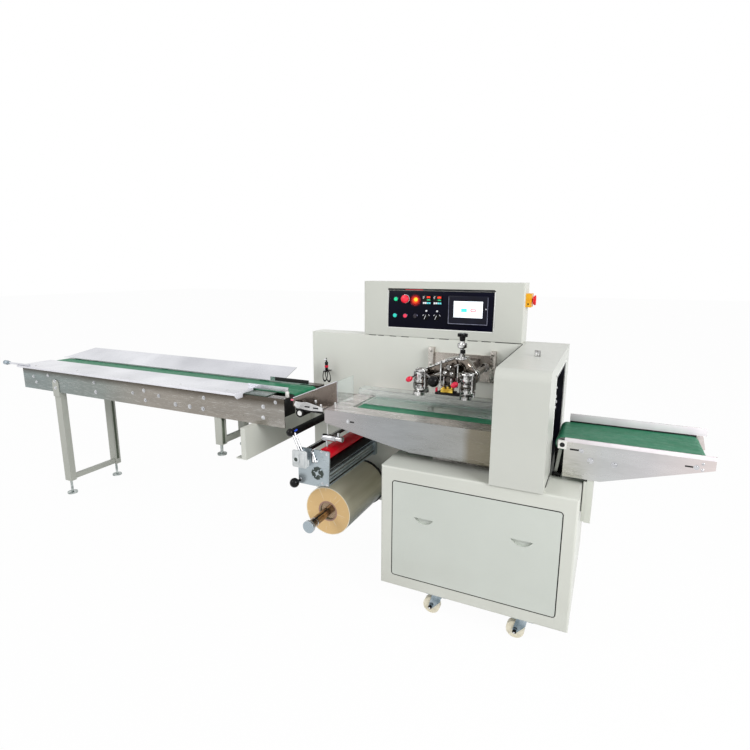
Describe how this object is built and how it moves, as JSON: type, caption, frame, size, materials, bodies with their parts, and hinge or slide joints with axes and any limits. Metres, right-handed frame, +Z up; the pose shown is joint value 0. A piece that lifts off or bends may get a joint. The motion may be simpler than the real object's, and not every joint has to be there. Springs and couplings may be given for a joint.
{
  "type": "horizontal flow wrapping machine",
  "caption": "Horizontal pillow pack wrapping machine with infeed belt conveyor, film roll below the forming trough, fin seal head, end seal housing, outfeed belt and upright control box.",
  "frame": {"origin": "on the floor, at the middle of the machine's footprint", "axes": "+X along the product flow, +Y to the upright back housing, +Z up"},
  "size_m": [4.07, 0.799, 1.45],
  "materials": {
    "painted_body": "warm light grey powder coat",
    "painted_door": "warm light grey powder coat",
    "panel_blue": "satin navy film",
    "screen": "touch screen",
    "controls": "buttons and meters",
    "isolator_yellow": "moulded",
    "isolator_red": "moulded",
    "stainless": "brushed stainless sheet",
    "steel_dark": "ground steel",
    "frame_black": "black enamel",
    "chrome": "polished",
    "zinc": "zinc plated",
    "belt_green": "satin belting",
    "belt_light": "satin belting",
    "black_rubber": "matte",
    "red_rubber": "satin",
    "black_plastic": "moulded",
    "nylon": "cast",
    "film": "wound clear film",
    "acrylic": "clear acrylic",
    "aluminium": "milled"
  },
  "bodies": {
    "machine": {"back_housing": "painted_body", "base_cabinet": "painted_body", "cabinet_door": "painted_door", "castor_plates": "zinc", "control_box": "painted_body", "control_panel": "panel_blue", "end_seal_frame": "frame_black", "end_seal_housing": "painted_body", "film_guide": "stainless", "film_guide_window": "acrylic", "film_unit_fittings": "black_plastic", "film_unit_frame": "aluminium", "fin_seal_bracket": "steel_dark", "fin_seal_head": "chrome", "infeed_beam": "painted_body", "infeed_bed": "stainless", "infeed_belt": "belt_green", "infeed_legs": "painted_body", "infeed_rollers": "aluminium", "infeed_short_legs": "painted_body", "infeed_side_plates": "stainless", "infeed_wings": "stainless", "isolator_body": "isolator_yellow", "outfeed_bearings": "nylon", "outfeed_belt": "belt_light", "outfeed_bracket": "painted_body", "outfeed_rollers": "aluminium", "outfeed_side_plates": "stainless", "panel_controls": "controls", "sensor_bracket": "steel_dark", "shaft_bearing": "steel_dark", "touch_screen": "screen", "trough_belt": "belt_green", "trough_cover": "acrylic", "trough_front_panel": "stainless", "trough_table": "stainless"},
    "castor_fork_front_left": {"castor_fork_front_left": "zinc"},
    "castor_wheel_front_left": {"castor_wheel_front_left": "nylon"},
    "castor_fork_rear_left": {"castor_fork_rear_left": "zinc"},
    "castor_wheel_rear_left": {"castor_wheel_rear_left": "nylon"},
    "castor_fork_front_right": {"castor_fork_front_right": "zinc"},
    "castor_wheel_front_right": {"castor_wheel_front_right": "nylon"},
    "castor_fork_rear_right": {"castor_fork_rear_right": "zinc"},
    "castor_wheel_rear_right": {"castor_wheel_rear_right": "nylon"},
    "isolator_handle": {"isolator_handle": "isolator_red"},
    "upper_jaw": {"end_seal_upper_jaw": "steel_dark"},
    "lower_jaw": {"end_seal_lower_jaw": "steel_dark"},
    "fin_wheel_left_front": {"fin_wheel_left_front": "chrome"},
    "fin_wheel_left_rear": {"fin_wheel_left_rear": "chrome"},
    "fin_wheel_right_front": {"fin_wheel_right_front": "chrome"},
    "fin_wheel_right_rear": {"fin_wheel_right_rear": "chrome"},
    "height_knob": {"height_knob": "black_plastic"},
    "red_roller": {"red_roller": "red_rubber"},
    "drive_roller": {"drive_roller": "black_rubber"},
    "dancer_arm": {"dancer_arm": "aluminium"},
    "dancer_roller": {"dancer_roller": "black_rubber"},
    "nose_roller": {"nose_roller": "black_rubber"},
    "film_roll": {"film_roll": "film", "film_shaft": "aluminium"}
  },
  "joints": [
    {"name": "castor_swivel_front_left", "type": "hinge", "parent": "machine", "child": "castor_fork_front_left", "pos_m": [1.061, -0.3105, 0.115], "axis": [0, 0, 1], "continuous": true},
    {"name": "castor_spin_front_left", "type": "hinge", "parent": "castor_fork_front_left", "child": "castor_wheel_front_left", "pos_m": [1.031, -0.3105, 0.0375], "axis": [0, 1, 0], "continuous": true},
    {"name": "castor_swivel_rear_left", "type": "hinge", "parent": "machine", "child": "castor_fork_rear_left", "pos_m": [1.061, 0.3455, 0.115], "axis": [0, 0, 1], "continuous": true},
    {"name": "castor_spin_rear_left", "type": "hinge", "parent": "castor_fork_rear_left", "child": "castor_wheel_rear_left", "pos_m": [1.031, 0.3455, 0.0375], "axis": [0, 1, 0], "continuous": true},
    {"name": "castor_swivel_front_right", "type": "hinge", "parent": "machine", "child": "castor_fork_front_right", "pos_m": [1.429, -0.3105, 0.115], "axis": [0, 0, 1], "continuous": true},
    {"name": "castor_spin_front_right", "type": "hinge", "parent": "castor_fork_front_right", "child": "castor_wheel_front_right", "pos_m": [1.399, -0.3105, 0.0375], "axis": [0, 1, 0], "continuous": true},
    {"name": "castor_swivel_rear_right", "type": "hinge", "parent": "machine", "child": "castor_fork_rear_right", "pos_m": [1.429, 0.3455, 0.115], "axis": [0, 0, 1], "continuous": true},
    {"name": "castor_spin_rear_right", "type": "hinge", "parent": "castor_fork_rear_right", "child": "castor_wheel_rear_right", "pos_m": [1.399, 0.3455, 0.0375], "axis": [0, 1, 0], "continuous": true},
    {"name": "isolator_turn", "type": "hinge", "parent": "machine", "child": "isolator_handle", "pos_m": [1.289, 0.342, 1.366], "axis": [1, 0, 0], "range_deg": [0, 90]},
    {"name": "upper_jaw_spin", "type": "hinge", "parent": "machine", "child": "upper_jaw", "pos_m": [1.371, 0.043, 0.9445], "axis": [0, 1, 0], "continuous": true},
    {"name": "lower_jaw_spin", "type": "hinge", "parent": "machine", "child": "lower_jaw", "pos_m": [1.371, 0.043, 0.8155], "axis": [0, 1, 0], "continuous": true},
    {"name": "fin_wheel_left_front_spin", "type": "hinge", "parent": "machine", "child": "fin_wheel_left_front", "pos_m": [0.861, -0.077, 0.958], "axis": [0, 0, 1], "continuous": true},
    {"name": "fin_wheel_left_rear_spin", "type": "hinge", "parent": "machine", "child": "fin_wheel_left_rear", "pos_m": [0.861, -0.016, 0.958], "axis": [0, 0, 1], "continuous": true},
    {"name": "fin_wheel_right_front_spin", "type": "hinge", "parent": "machine", "child": "fin_wheel_right_front", "pos_m": [1.084, -0.077, 0.958], "axis": [0, 0, 1], "continuous": true},
    {"name": "fin_wheel_right_rear_spin", "type": "hinge", "parent": "machine", "child": "fin_wheel_right_rear", "pos_m": [1.084, -0.016, 0.958], "axis": [0, 0, 1], "continuous": true},
    {"name": "height_knob_turn", "type": "hinge", "parent": "machine", "child": "height_knob", "pos_m": [1.035, 0.0165, 1.115], "axis": [0, 0, 1], "continuous": true},
    {"name": "red_roller_spin", "type": "hinge", "parent": "machine", "child": "red_roller", "pos_m": [0.447, -0.0145, 0.632], "axis": [0, 1, 0], "continuous": true},
    {"name": "drive_roller_spin", "type": "hinge", "parent": "machine", "child": "drive_roller", "pos_m": [0.449, -0.0145, 0.573], "axis": [0, 1, 0], "continuous": true},
    {"name": "dancer_swing", "type": "hinge", "parent": "machine", "child": "dancer_arm", "pos_m": [0.325, -0.2645, 0.628], "axis": [0, 1, 0], "range_deg": [-20, 20]},
    {"name": "dancer_roller_spin", "type": "hinge", "parent": "dancer_arm", "child": "dancer_roller", "pos_m": [0.27936, -0.0145, 0.72588], "axis": [0, 1, 0], "continuous": true},
    {"name": "nose_roller_spin", "type": "hinge", "parent": "machine", "child": "nose_roller", "pos_m": [0.319, -0.0645, 0.827], "axis": [0, 1, 0], "continuous": true},
    {"name": "film_roll_spin", "type": "hinge", "parent": "machine", "child": "film_roll", "pos_m": [0.438, -0.2165, 0.316], "axis": [0, 1, 0], "continuous": true}
  ],
  "couplings": [
    {"joint": "lower_jaw_spin", "follows": "upper_jaw_spin", "ratio": -1},
    {"joint": "fin_wheel_left_rear_spin", "follows": "fin_wheel_left_front_spin", "ratio": -1},
    {"joint": "fin_wheel_right_front_spin", "follows": "fin_wheel_left_front_spin", "ratio": 1},
    {"joint": "fin_wheel_right_rear_spin", "follows": "fin_wheel_left_front_spin", "ratio": -1}
  ]
}
